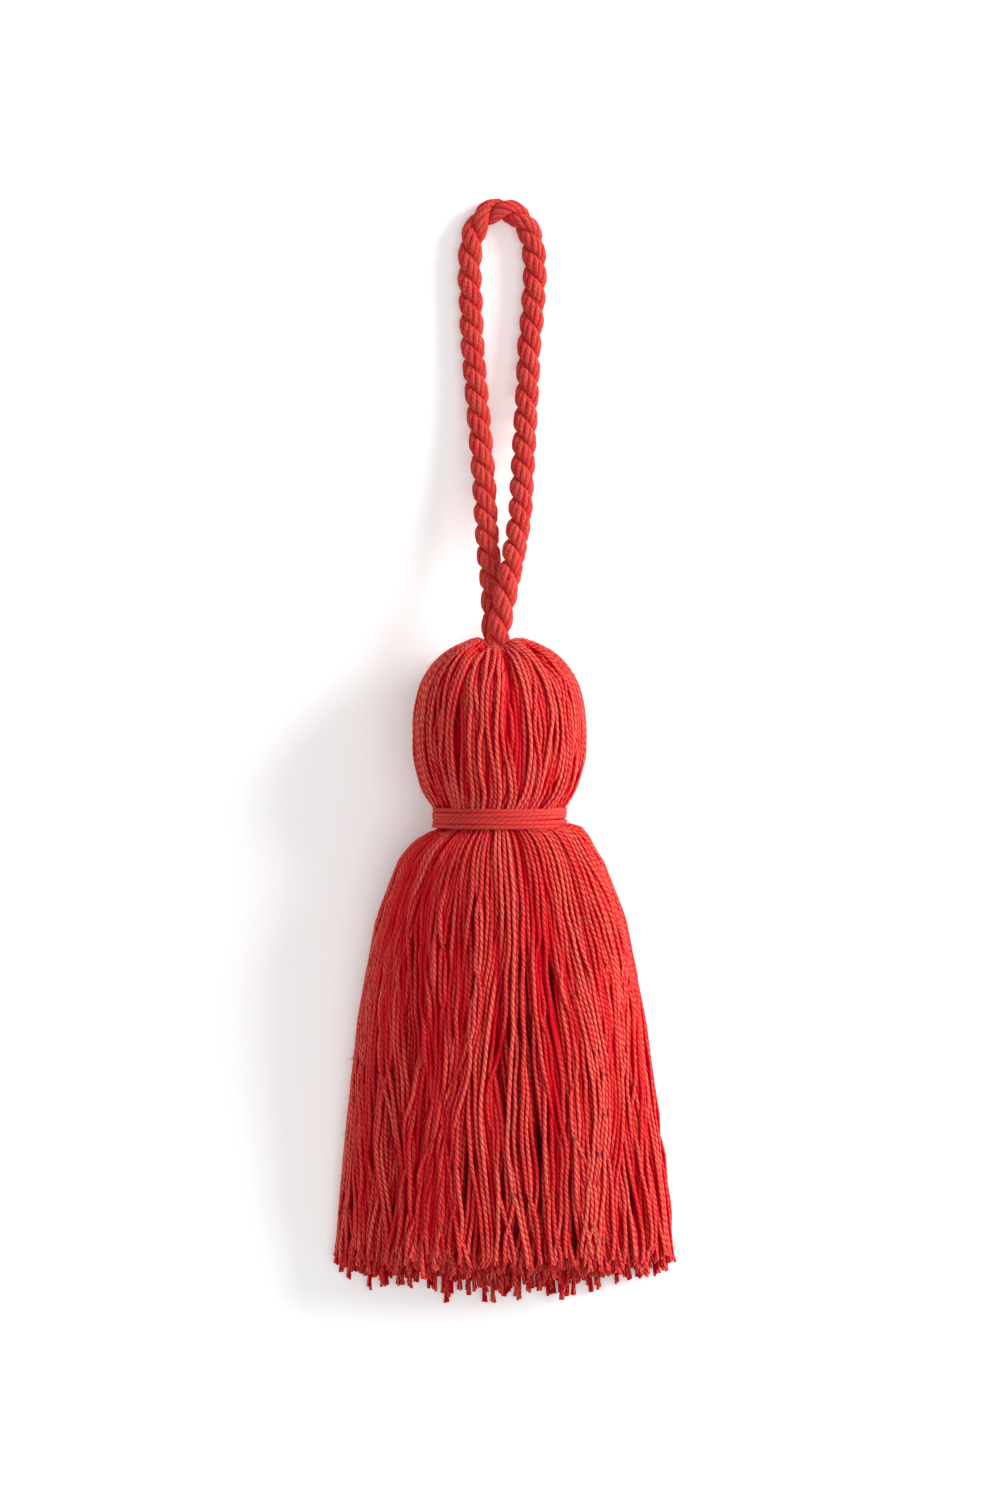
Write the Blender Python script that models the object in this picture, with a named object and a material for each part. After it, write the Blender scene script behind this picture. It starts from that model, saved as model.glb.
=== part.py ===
"""Cotton tassel with a twisted hanging loop, lying on its back on a level surface.

Metres, +Z up. The tassel's axis runs along Y: the loop points to +Y, the skirt to -Y, and the
surface it lies on is z = 0. Sizes below are millimetres unless a name says otherwise. Heights on
the head and drops on the skirt are measured along Y from the middle of the neck.

Nodes: yarn_skein (the folded skein: ribbed head, neck and skirt of locks fused at their roots),
neck_band (the turns wound round the neck) and hanging_loop (a two-ply rope).
"""

import math
from collections import namedtuple

import bpy
import numpy as np
from mathutils import Vector
from mathutils.geometry import delaunay_2d_cdt, interpolate_bezier

MM = 0.001
SEED = 11
WELD = 1e-5
SHARP_EDGE = math.radians(50)

# Where the neck's middle sits, so that the skein and its band are centred on the origin.
NECK_X = -0.9
NECK_Y = 30.59
AXIS_Z = 16.1
GAP = 0.3

# Neck and the band wound round it.
NECK_RADIUS = 12.3
NECK_HALF_LENGTH = 2.7
BAND_TURNS = 5
BAND_HALF_WIDTH = 2.2
BAND_INNER_RADIUS = NECK_RADIUS + GAP
BAND_OUTER_RADIUS = 13.6
BAND_GROOVE = 0.4
BAND_WANDER = 0.16
BAND_STEPS = 48

# Head: a barrel of folded yarns, with a pit at the top where the loop goes in.
Ring = namedtuple("Ring", "height radius rib")
HEAD_RINGS = (
    Ring(height=35.3, radius=6.3, rib=0.15),
    Ring(height=34.2, radius=9.2, rib=0.4),
    Ring(height=32.4, radius=12.1, rib=0.7),
    Ring(height=29.6, radius=14.9, rib=1.0),
    Ring(height=25.6, radius=16.7, rib=1.0),
    Ring(height=20.6, radius=17.5, rib=1.0),
    Ring(height=15.6, radius=17.8, rib=1.0),
    Ring(height=10.6, radius=17.2, rib=1.0),
    Ring(height=6.6, radius=16.3, rib=1.0),
    Ring(height=4.2, radius=15.2, rib=0.9),
    Ring(height=3.1, radius=13.9, rib=0.6),
)
PIT_RADIUS = 5.9
PIT_FLOOR = 33.0
RIBS = 40
RIB_CREST = 0.3
RIB_GROOVE = 0.6
RIB_STRENGTH = (0.6, 1.3)
RIB_LEAN = math.radians(4)
LEAN_WAVES = 3
PARTING_ANGLE = math.radians(87)
PARTING_HALF_ANGLE = math.radians(4)
PARTING_DEPTH = 1.0
PARTING_TOP = 0.75

# Skirt: sections at growing drops below the neck. left, right and top are its outline, and
# underside is where the lowest row lies. round runs from 1, a round bundle, to 0, a low dome.
Section = namedtuple("Section", "drop left right underside top round")
SKIRT_SECTIONS = (
    Section(drop=0.0, left=12.0, right=12.0, underside=4.9, top=27.3, round=1.0),
    Section(drop=1.7, left=17.2, right=18.8, underside=2.6, top=30.2, round=0.9),
    Section(drop=6.5, left=21.8, right=22.5, underside=0.0, top=32.2, round=0.55),
    Section(drop=18.0, left=26.2, right=26.8, underside=0.0, top=32.6, round=0.2),
    Section(drop=38.0, left=28.9, right=29.6, underside=0.0, top=30.0, round=0.0),
    Section(drop=64.0, left=31.0, right=32.6, underside=0.0, top=25.4, round=0.0),
    Section(drop=96.0, left=34.4, right=36.0, underside=0.0, top=18.6, round=0.0),
)
ROWS = 9
LOCKS_IN_WIDEST_ROW = 26
ROOT_INSET = 0.93
DOME_INSET = 0.96
LOCK_WIDTH_SHARE = 0.7
LOCK_HEIGHT_SHARE = 0.78
LOCK_SHIFT_SHARE = 0.05
LOCK_LIFT_SHARE = 0.08
DRIFT = 0.8
DRIFT_WAVELENGTH = 32.0
DRIFT_DROP_WAVELENGTH = 70.0
DRIFT_GROWS_OVER = 30.0
SKIRT_LENGTH = 86.0
LENGTH_SLOPE = 2.6
LOWER_ROWS_LONGER = 6.5
END_RAGGED = 1.3

# Hanging loop: two plies laid round each other, S-twist.
PLY_RADIUS = 1.5
PLY_OFFSET = 1.2
LAY_LENGTH = 9.6
LAY_STEPS = 8
ROPE_SIDES = 12
RoutePoint = namedtuple("RoutePoint", "x y z")
ROUTE_FINENESS = 24
LOOP_ROUTE = (
    RoutePoint(-1.2, 33.3, 13.35),
    RoutePoint(-1.2, 36.5, 13.35),
    RoutePoint(-1.2, 40.0, 13.1),
    RoutePoint(-1.4, 44.0, 12.4),
    RoutePoint(-1.7, 48.5, 11.4),
    RoutePoint(-2.3, 53.5, 10.1),
    RoutePoint(-2.7, 60.0, 8.4),
    RoutePoint(-3.2, 68.0, 6.5),
    RoutePoint(-3.9, 77.0, 4.8),
    RoutePoint(-4.7, 86.0, 3.5),
    RoutePoint(-5.4, 95.0, 2.9),
    RoutePoint(-5.8, 104.0, 2.75),
    RoutePoint(-6.0, 111.4, 2.75),
    RoutePoint(-5.4, 117.0, 2.75),
    RoutePoint(-3.3, 120.9, 2.75),
    RoutePoint(0.1, 122.5, 2.75),
    RoutePoint(3.8, 121.0, 2.75),
    RoutePoint(6.3, 117.1, 2.75),
    RoutePoint(7.1, 111.0, 2.75),
    RoutePoint(6.8, 103.4, 2.75),
    RoutePoint(6.0, 94.6, 3.0),
    RoutePoint(5.6, 86.0, 3.9),
    RoutePoint(5.1, 77.5, 5.5),
    RoutePoint(4.6, 68.5, 7.8),
    RoutePoint(4.1, 60.5, 10.4),
    RoutePoint(3.1, 54.0, 13.1),
    RoutePoint(2.1, 49.0, 15.8),
    RoutePoint(1.1, 44.2, 17.9),
    RoutePoint(0.3, 40.0, 18.75),
    RoutePoint(-0.2, 36.5, 18.85),
    RoutePoint(-0.2, 33.3, 18.85),
)

# Colours of dyed cotton, linear.
COTTON_RED = (0.43, 0.026, 0.028, 1.0)
BAND_RED = (0.47, 0.034, 0.032, 1.0)
ROPE_RED = (0.50, 0.055, 0.052, 1.0)
COTTON_ROUGHNESS = 0.85


def clear_scene():
    for obj in list(bpy.data.objects):
        bpy.data.objects.remove(obj, do_unlink=True)


def cotton(name, colour):
    material = bpy.data.materials.new(name)
    material.use_nodes = True
    shader = material.node_tree.nodes["Principled BSDF"]
    shader.inputs["Base Color"].default_value = colour
    shader.inputs["Roughness"].default_value = COTTON_ROUGHNESS
    shader.inputs["Metallic"].default_value = 0.0
    return material


def add_solid(name, points, faces, material, parent):
    """One mesh object from points in millimetres, hung on the parent empty."""
    mesh = bpy.data.meshes.new(name)
    mesh.from_pydata([tuple(MM * c for c in p) for p in points], [], faces)
    mesh.validate()
    mesh.materials.append(material)
    mesh.shade_smooth()
    mesh.set_sharp_from_angle(angle=SHARP_EDGE)
    obj = bpy.data.objects.new(name, mesh)
    obj.parent = parent
    bpy.context.scene.collection.objects.link(obj)
    return obj


def bridge(lower, upper):
    """Quads between two closed rings of as many points, each given as its point numbers."""
    count = len(lower)
    return [
        (lower[i], lower[(i + 1) % count], upper[(i + 1) % count], upper[i])
        for i in range(count)
    ]


def mix(a, b, share):
    return a + (b - a) * share


# Skirt -----------------------------------------------------------------------------------------


def section_at(drop):
    """The skirt's section at any drop, between the two rows of the table round it."""
    for above, below in zip(SKIRT_SECTIONS, SKIRT_SECTIONS[1:]):
        if drop <= below.drop:
            break
    share = (drop - above.drop) / (below.drop - above.drop)
    return Section(*(mix(a, b, share) for a, b in zip(above, below)))


def row_span(row, roundness):
    """Half the width of a row, as a share of the section's: a chord of a circle or of a dome."""
    low, high = row / ROWS, (row + LOCK_HEIGHT_SHARE) / ROWS
    furthest = max(abs(2 * low - 1), abs(2 * high - 1))
    circle = math.sqrt(1 - (ROOT_INSET * furthest) ** 2)
    dome = math.sqrt(1 - (DOME_INSET * high) ** 2)
    return mix(dome, circle, roundness)


def locks_in_row(row):
    return round(LOCKS_IN_WIDEST_ROW * row_span(row, 0.5))


def drift(across, row, drop, phases):
    """A slow sideways sway that neighbours share, so that locks gather and part."""
    turn = 2 * math.pi * (across / DRIFT_WAVELENGTH + drop / DRIFT_DROP_WAVELENGTH)
    grown = min(1.0, drop / DRIFT_GROWS_OVER)
    return DRIFT * grown * math.sin(turn + phases[row])


def lock_corners(across, row, section, width, stray, phases):
    """The three corners (x, z) of a lock in one section, flat side down."""
    shift, lift = stray
    pitch_z = (section.top - section.underside) / ROWS
    side = section.right if across > 0 else section.left
    span = row_span(row, section.round)
    x = across * span * side
    x += shift * width + drift(x, row, section.drop, phases)
    foot = section.underside + row * pitch_z
    lies_on_surface = row == 0 and section.underside == 0.0
    if not lies_on_surface:
        foot += lift * pitch_z
    crest = foot + LOCK_HEIGHT_SHARE * pitch_z
    half = width / 2
    return [(x - half, foot), (x + half, foot), (x, crest)]


def lock_end(across, row, rng):
    """How far down a lock reaches: the lower rows stick out further near the middle."""
    lower = 1 - row / (ROWS - 1)
    return (
        SKIRT_LENGTH
        + LENGTH_SLOPE * across
        + LOWER_ROWS_LONGER * lower * (1 - across**2)
        + rng.uniform(-END_RAGGED, END_RAGGED)
    )


def skirt_locks():
    """Each lock as its list of (drop, corners), from its root to its cut end."""
    rng = np.random.default_rng(SEED)
    phases = rng.uniform(0, 2 * math.pi, ROWS)
    locks = []
    for row in range(ROWS):
        count = locks_in_row(row)
        for i in range(count):
            across = (2 * i + 1) / count - 1
            stray = (
                rng.uniform(-LOCK_SHIFT_SHARE, LOCK_SHIFT_SHARE),
                rng.uniform(-LOCK_LIFT_SHARE, LOCK_LIFT_SHARE),
            )
            drops = [section.drop for section in SKIRT_SECTIONS[:-1]]
            drops.append(lock_end(across, row, rng))
            lock = []
            for drop in drops:
                section = section_at(drop)
                full_width = row_span(row, section.round) * (section.left + section.right)
                width = LOCK_WIDTH_SHARE * full_width / count
                lock.append((drop, lock_corners(across, row, section, width, stray, phases)))
            locks.append(lock)
    return locks


def root_face(rim, roots):
    """Triangles that close the neck's end round the locks' roots, as numbers into rim + roots."""
    flat = rim + [corner for root in roots for corner in root]
    edges = [(i, (i + 1) % len(rim)) for i in range(len(rim))]
    for k in range(len(roots)):
        a = len(rim) + 3 * k
        edges += [(a, a + 1), (a + 1, a + 2), (a + 2, a)]
    points, _, faces, origins, _, _ = delaunay_2d_cdt(
        [Vector(p) for p in flat], edges, [], 1, WELD
    )
    number = {}
    for new, old in enumerate(origins):
        for first in old:
            number[new] = first
    root_of = {}
    for k in range(len(roots)):
        for corner in range(3):
            root_of[len(rim) + 3 * k + corner] = k
    kept = []
    for face in faces:
        corners = [number[v] for v in face]
        owners = {root_of.get(v) for v in corners}
        if len(owners) == 1 and None not in owners:
            continue
        kept.append(corners)
    return kept


# Head ------------------------------------------------------------------------------------------


def rib_heights(rng):
    """How far each meridian stands off the barrel, in millimetres: crests and grooves by turns."""
    heights = []
    for i in range(2 * RIBS):
        strength = rng.uniform(*RIB_STRENGTH)
        heights.append(strength * (RIB_CREST if i % 2 == 0 else -RIB_GROOVE))
    return heights


def head_ring(ring, ribs, phase):
    """One ring of points round the head, pressed flat where it meets the surface."""
    count = 2 * RIBS
    shoulder = (ring.height - HEAD_RINGS[-1].height) / HEAD_RINGS[0].height
    points = []
    for i in range(count):
        angle = 2 * math.pi * i / count
        sway = math.sin(LEAN_WAVES * angle + phase) * math.sin(math.pi * shoulder)
        lean = RIB_LEAN * sway
        off = ring.rib * ribs[i]
        if abs(angle - PARTING_ANGLE) < PARTING_HALF_ANGLE and shoulder < PARTING_TOP:
            off = -ring.rib * PARTING_DEPTH
        radius = ring.radius + off
        x = radius * math.cos(angle + lean)
        z = AXIS_Z + radius * math.sin(angle + lean)
        points.append((x, ring.height, max(z, 0.0)))
    return points


def plain_ring(height, radius):
    count = 2 * RIBS
    turns = [2 * math.pi * i / count for i in range(count)]
    return [
        (radius * math.cos(t), height, AXIS_Z + radius * math.sin(t)) for t in turns
    ]


def build_skein(parent):
    rng = np.random.default_rng(SEED)
    ribs = rib_heights(rng)
    phase = rng.uniform(0, 2 * math.pi)

    # Rings from the pit's floor, out over the shoulder and down to the neck's end.
    rings = [plain_ring(PIT_FLOOR, PIT_RADIUS), plain_ring(HEAD_RINGS[0].height, PIT_RADIUS)]
    rings += [head_ring(ring, ribs, phase) for ring in HEAD_RINGS]
    rings.append(plain_ring(NECK_HALF_LENGTH, NECK_RADIUS))
    rings.append(plain_ring(-NECK_HALF_LENGTH, NECK_RADIUS))
    points = [p for ring in rings for p in ring]
    numbers = [
        list(range(k * 2 * RIBS, (k + 1) * 2 * RIBS)) for k in range(len(rings))
    ]
    faces = []
    for inner, outer in zip(numbers, numbers[1:]):
        faces += bridge(inner, outer)
    centre = len(points)
    points.append((0.0, PIT_FLOOR, AXIS_Z))
    first = numbers[0]
    faces += [(first[(i + 1) % len(first)], first[i], centre) for i in range(len(first))]

    # The neck's end, open only at the locks' roots.
    locks = skirt_locks()
    rim = numbers[-1]
    roots = [lock[0][1] for lock in locks]
    flat_rim = [(points[i][0], points[i][2]) for i in rim]
    first_root = len(points)
    for root in roots:
        points += [(x, -NECK_HALF_LENGTH, z) for x, z in root]
    place = {i: rim[i] for i in range(len(rim))}
    place.update({len(rim) + k: first_root + k for k in range(3 * len(roots))})
    for face in root_face(flat_rim, roots):
        faces.append(tuple(place[v] for v in face))

    # Each lock runs down from its root through the sections to a blunt cut end.
    for k, lock in enumerate(locks):
        above = [first_root + 3 * k + corner for corner in range(3)]
        for drop, corners in lock[1:]:
            below = list(range(len(points), len(points) + 3))
            points += [(x, -NECK_HALF_LENGTH - drop, z) for x, z in corners]
            faces += bridge(above, below)
            above = below
        faces.append(tuple(above))
    print(f"skirt: {len(locks)} locks in {ROWS} rows")
    return add_solid("yarn_skein", points, faces, cotton("cotton_red", COTTON_RED), parent)


# Neck band -------------------------------------------------------------------------------------


def build_band(parent):
    """A ring with one ridge for each turn; the turns wander a little along the neck."""
    turn_width = 2 * BAND_HALF_WIDTH / BAND_TURNS
    profile = [(-BAND_HALF_WIDTH, BAND_OUTER_RADIUS - BAND_GROOVE)]
    for turn in range(BAND_TURNS):
        start = -BAND_HALF_WIDTH + turn * turn_width
        profile.append((start + turn_width / 2, BAND_OUTER_RADIUS))
        profile.append((start + turn_width, BAND_OUTER_RADIUS - BAND_GROOVE))
    profile += [(BAND_HALF_WIDTH, BAND_INNER_RADIUS), (-BAND_HALF_WIDTH, BAND_INNER_RADIUS)]
    points = []
    for step in range(BAND_STEPS):
        angle = 2 * math.pi * step / BAND_STEPS
        for place, (along, radius) in enumerate(profile):
            on_outside = 0 < place < len(profile) - 3
            sway = BAND_WANDER * math.sin(2 * angle + place) if on_outside else 0.0
            x, z = radius * math.cos(angle), AXIS_Z + radius * math.sin(angle)
            points.append((x, along + sway, z))
    count = len(profile)
    faces = []
    for step in range(BAND_STEPS):
        here = list(range(step * count, (step + 1) * count))
        after = [(i + count) % len(points) for i in here]
        faces += bridge(here, after)
    return add_solid("neck_band", points, faces, cotton("cotton_band", BAND_RED), parent)


# Hanging loop ----------------------------------------------------------------------------------


def smooth_route(knots, step):
    """Points every step along a smooth curve through the knots, and the curve's length."""
    fine = []
    last = len(knots) - 1
    for i in range(last):
        before = knots[max(i - 1, 0)]
        after = knots[min(i + 2, last)]
        start, end = knots[i], knots[i + 1]
        handle = (end - start).length / 3
        leave = (end - before).normalized() * handle
        arrive = (after - start).normalized() * handle
        piece = interpolate_bezier(start, start + leave, end - arrive, end, ROUTE_FINENESS)
        fine += piece if i == 0 else piece[1:]
    fine = np.array(fine)
    run = np.concatenate([[0.0], np.cumsum(np.linalg.norm(np.diff(fine, axis=0), axis=1))])
    wanted = np.linspace(0.0, run[-1], round(run[-1] / step) + 1)
    return np.stack([np.interp(wanted, run, fine[:, k]) for k in range(3)], axis=1), run[-1]


def carried_frames(path):
    """At each point, two directions across the path that turn with it and never spin round it."""
    tangents = np.gradient(path, axis=0)
    tangents /= np.linalg.norm(tangents, axis=1)[:, None]
    side = np.cross(tangents[0], (0.0, 0.0, 1.0))
    frames = []
    for tangent in tangents:
        side = side - tangent * side.dot(tangent)
        side /= np.linalg.norm(side)
        frames.append((side, np.cross(tangent, side)))
    return frames


def ply_reach(angle):
    """Distance from the rope's middle to the outside of its two touching plies."""
    across = PLY_OFFSET * math.sin(angle)
    return PLY_OFFSET * abs(math.cos(angle)) + math.sqrt(PLY_RADIUS**2 - across**2)


def build_loop(parent):
    knots = [Vector(p) for p in LOOP_ROUTE]
    path, length = smooth_route(knots, LAY_LENGTH / LAY_STEPS)
    points = []
    for k, (centre, (side, rise)) in enumerate(zip(path, carried_frames(path))):
        twist = -2 * math.pi * k / LAY_STEPS
        for corner in range(ROPE_SIDES):
            angle = 2 * math.pi * corner / ROPE_SIDES
            reach = ply_reach(angle)
            across = side * math.cos(angle + twist) + rise * math.sin(angle + twist)
            points.append(tuple(centre + reach * across))
    rings = [
        list(range(k * ROPE_SIDES, (k + 1) * ROPE_SIDES)) for k in range(len(path))
    ]
    faces = [tuple(reversed(rings[0])), tuple(rings[-1])]
    for here, after in zip(rings, rings[1:]):
        faces += bridge(here, after)
    print(f"hanging loop: {length:.1f} mm of rope")
    return add_solid("hanging_loop", points, faces, cotton("cotton_rope", ROPE_RED), parent)


def main():
    clear_scene()
    tassel = bpy.data.objects.new("tassel", None)
    tassel.location = (NECK_X * MM, NECK_Y * MM, 0.0)
    bpy.context.scene.collection.objects.link(tassel)
    build_skein(tassel)
    build_band(tassel)
    build_loop(tassel)


main()
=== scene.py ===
# %% [markdown]
# # A cotton tassel, spun yarn by yarn
#
# The real object is a skein of soft plied cotton yarn, folded over a loop of twisted rope, bound at
# the neck with a few turns of the same yarn and cut off below. It lies on its back, so the camera
# looks straight down on it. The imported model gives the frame: places are measured from its neck
# band, and the rope's route and the outlines of head and skirt repeat those of its solids.

# %% Load the frame
import math

import bpy
import numpy as np
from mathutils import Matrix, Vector


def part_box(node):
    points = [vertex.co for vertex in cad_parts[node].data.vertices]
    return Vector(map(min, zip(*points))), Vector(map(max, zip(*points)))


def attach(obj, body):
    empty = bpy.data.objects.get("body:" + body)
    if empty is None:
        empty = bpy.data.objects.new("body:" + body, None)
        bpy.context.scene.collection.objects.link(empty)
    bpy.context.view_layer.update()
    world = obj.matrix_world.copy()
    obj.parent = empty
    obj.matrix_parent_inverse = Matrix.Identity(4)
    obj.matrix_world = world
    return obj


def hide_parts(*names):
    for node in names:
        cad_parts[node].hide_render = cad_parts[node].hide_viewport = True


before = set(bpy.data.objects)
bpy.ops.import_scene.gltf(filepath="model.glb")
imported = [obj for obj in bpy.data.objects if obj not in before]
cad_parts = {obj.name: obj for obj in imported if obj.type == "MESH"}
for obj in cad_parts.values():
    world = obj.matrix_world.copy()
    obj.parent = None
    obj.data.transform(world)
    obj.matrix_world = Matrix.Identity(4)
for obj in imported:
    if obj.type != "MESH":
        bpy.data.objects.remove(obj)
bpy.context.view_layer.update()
MM = 0.001
TAU = 2 * math.pi
band_low, band_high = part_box("neck_band")
NECK = np.array((band_low + band_high) / 2)
BAND_RADIUS = (band_high.x - band_low.x) / 2 / MM
BAND_HALF_WIDTH = (band_high.y - band_low.y) / 2 / MM
print("nodes:", sorted(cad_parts), "neck at", [round(float(v), 4) for v in NECK])

# %% [markdown]
# ## Camera, floor and light
#
# The tassel is seen from straight above through a long lens, so nothing is foreshortened. A big
# soft window on the right gives each yarn a lit and a shaded side, a weaker one above softens the
# gaps, and a bright surround and the white paper underneath fill in what is left.

# %% Camera
FRAME_LENGTH = 0.3002
CAMERA_HEIGHT = 1.5
FOCUS_Z = 0.016
SENSOR = 36.0
# The neck lies a little below the middle of the view.
FRAME_CENTRE = (NECK[0] + 0.1 * MM, NECK[1] + 13.3 * MM)


def new_object(name, data):
    made = bpy.data.objects.new(name, data)
    bpy.context.scene.collection.objects.link(made)
    return made


camera_data = bpy.data.cameras.new("camera")
camera_data.sensor_width = SENSOR
camera_data.lens = SENSOR * CAMERA_HEIGHT / FRAME_LENGTH
camera = new_object("camera", camera_data)
camera.location = (*FRAME_CENTRE, FOCUS_Z + CAMERA_HEIGHT)
bpy.context.scene.camera = camera
bpy.context.scene.view_settings.view_transform = "Standard"
print("lens:", round(camera_data.lens, 1), "mm")


# %% Floor and lights
def plain_material(name, colour, roughness):
    material = bpy.data.materials.new(name)
    material.use_nodes = True
    shader = material.node_tree.nodes["Principled BSDF"]
    shader.inputs["Base Color"].default_value = (*colour, 1.0)
    shader.inputs["Roughness"].default_value = roughness
    return material


def soft_window(name, place, size, watts):
    """A round area light that faces the row's origin."""
    data = bpy.data.lights.new(name, "AREA")
    data.shape = "DISK"
    data.size = size
    data.energy = watts
    window = new_object(name, data)
    window.location = place
    window.rotation_euler = (-Vector(place)).to_track_quat("-Z", "Y").to_euler()


FLOOR_HALF = 1.5
PAPER_GLOW = 0.18
SURROUND_STRENGTH = 0.45

floor_mesh = bpy.data.meshes.new("floor")
floor_mesh.from_pydata(
    [(-FLOOR_HALF, -FLOOR_HALF, 0), (FLOOR_HALF, -FLOOR_HALF, 0),
     (FLOOR_HALF, FLOOR_HALF, 0), (-FLOOR_HALF, FLOOR_HALF, 0)], [], [(0, 1, 2, 3)])
white_paper = plain_material("white_paper", (0.95, 0.95, 0.95), 0.9)
white_shader = white_paper.node_tree.nodes["Principled BSDF"]
white_shader.inputs["Emission Color"].default_value = (1.0, 1.0, 1.0, 1.0)
white_shader.inputs["Emission Strength"].default_value = PAPER_GLOW
floor_mesh.materials.append(white_paper)
floor = new_object("floor", floor_mesh)

soft_window("window_right", place=(1.0, 0.4, 0.6), size=0.6, watts=15.4)
soft_window("window_above", place=(0.25, -0.15, 1.4), size=1.0, watts=6.2)
surround = bpy.data.worlds.new("surround")
surround.use_nodes = True
background = surround.node_tree.nodes["Background"]
background.inputs["Color"].default_value = (1.0, 1.0, 1.0, 1.0)
background.inputs["Strength"].default_value = SURROUND_STRENGTH
bpy.context.scene.world = surround
print("floor and lights are in place")

# %% [markdown]
# ## Cotton yarn as a material
#
# A plied yarn is two or three thin yarns twisted together, so its surface is a row of slanting
# ridges. Modelling them on every strand of the skirt would take millions of faces. Each tube
# carries five attributes instead: yarn_round, where a point lies round the tube (its cosine and
# sine, so there is no seam), yarn_run, how far along the yarn it lies in metres, yarn_shade, a
# number of its own for each yarn, yarn_depth, how deep it lies among the others, and yarn_out, the
# way that leads out of the skein. One node group turns them into the slanting ridges, the fine
# fibres inside each ply and a tone from deep crimson to bright red, with painted shade: the
# colour goes crimson in the grooves between plies, on yarns that lie deep or turn into the skein
# and in crevices. Every yarn material uses it with its own values.


# %% Node helpers
def node(tree, kind, sockets=(), **properties):
    """A new node. sockets maps a socket's name or number to its value, or to what feeds it."""
    made = tree.nodes.new(kind)
    for key, value in properties.items():
        setattr(made, key, value)
    for key, value in dict(sockets).items():
        if isinstance(value, bpy.types.NodeSocket):
            tree.links.new(value, made.inputs[key])
        else:
            made.inputs[key].default_value = value
    return made


def maths(tree, operation, *terms):
    """A Math node whose terms are sockets or numbers; gives its output."""
    return node(tree, "ShaderNodeMath", dict(enumerate(terms)), operation=operation).outputs[0]


def vector_maths(tree, operation, sockets):
    return node(tree, "ShaderNodeVectorMath", sockets, operation=operation)


def socket(tree, name, in_out, kind, value=None):
    """A named input or output of a group, with its value when nothing feeds it."""
    made = tree.interface.new_socket(name, in_out=in_out, socket_type=kind)
    if value is not None:
        made.default_value = value


print("node helpers are ready")


# %% Parts of the ply group
FIBRE_RUN_SCALE = 700.0
FIBRE_ROUND_SCALE = 2.6
FIBRE_YARN_STEP = 40.0
FACING_FROM = -0.25
FACING_TO = 0.85
CREVICE_REACH = 2.0 * MM


def attribute(tree, name, output="Fac"):
    return node(tree, "ShaderNodeAttribute", attribute_name=name).outputs[output]


def ply_ridges(tree, around, run, shade, lay_length, plies):
    """1 on the back of a ply, near 0 in the groove beside it."""
    split = node(tree, "ShaderNodeSeparateXYZ", {0: around}).outputs
    # The angle round the yarn, turned back by the twist, so that it stays put on one ply.
    angle = maths(tree, "ARCTAN2", split["Y"], split["X"])
    # No two yarns are twisted quite as tightly.
    own_lay = maths(tree, "MULTIPLY_ADD", shade, 0.3, 0.85)
    turns = maths(tree, "DIVIDE", run, maths(tree, "MULTIPLY", lay_length, own_lay))
    on_ply = maths(tree, "MULTIPLY_ADD", turns, TAU, angle)
    wave = maths(tree, "COSINE", maths(tree, "MULTIPLY", on_ply, plies))
    return maths(tree, "SQRT", maths(tree, "MULTIPLY_ADD", wave, 0.49, 0.51))


def fibre_noise(tree, around, run, shade):
    """Noise that is long along the yarn and short across it, and starts anew on each yarn."""
    across = vector_maths(tree, "SCALE", {0: around, "Scale": FIBRE_ROUND_SCALE})
    along = node(tree, "ShaderNodeCombineXYZ", {
        "X": maths(tree, "MULTIPLY", shade, FIBRE_YARN_STEP),
        "Z": maths(tree, "MULTIPLY", run, FIBRE_RUN_SCALE),
    })
    place = vector_maths(tree, "ADD", {0: across.outputs[0], 1: along.outputs[0]})
    values = {"Vector": place.outputs[0], "Scale": 1.3, "Detail": 2.0}
    return node(tree, "ShaderNodeTexNoise", values, noise_dimensions="3D").outputs["Fac"]


def facing_out(tree, outward):
    """1 on the side of a yarn that faces out of the skein, and 0 on the side turned into it."""
    normal = node(tree, "ShaderNodeNewGeometry").outputs["Normal"]
    own_normal = node(
        tree, "ShaderNodeVectorTransform", {0: normal}, vector_type="NORMAL",
        convert_from="WORLD", convert_to="OBJECT",
    )
    towards = vector_maths(tree, "DOT_PRODUCT", {0: own_normal.outputs[0], 1: outward})
    values = {"Value": towards.outputs["Value"], "From Min": FACING_FROM, "From Max": FACING_TO}
    facing = node(tree, "ShaderNodeMapRange", values, interpolation_type="SMOOTHSTEP")
    return facing.outputs["Result"]


def painted_crevice_shade(tree):
    """Painted shade: 1 in the open and 0 in a crevice, where the yarn is painted all but the deepest
    red.
    """
    reach = {"Distance": CREVICE_REACH}
    return node(
        tree, "ShaderNodeAmbientOcclusion", reach, samples=4, only_local=True
    ).outputs["AO"]


print("fibres:", FIBRE_RUN_SCALE, "along and", FIBRE_ROUND_SCALE, "round the yarn")


# %% The ply group
PLIES = 3
DEPTH_SHADE = -0.9
GROOVE_SHADE = -0.22
TONE_GAIN = 1.15
TONE_POWER = 1.9


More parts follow.
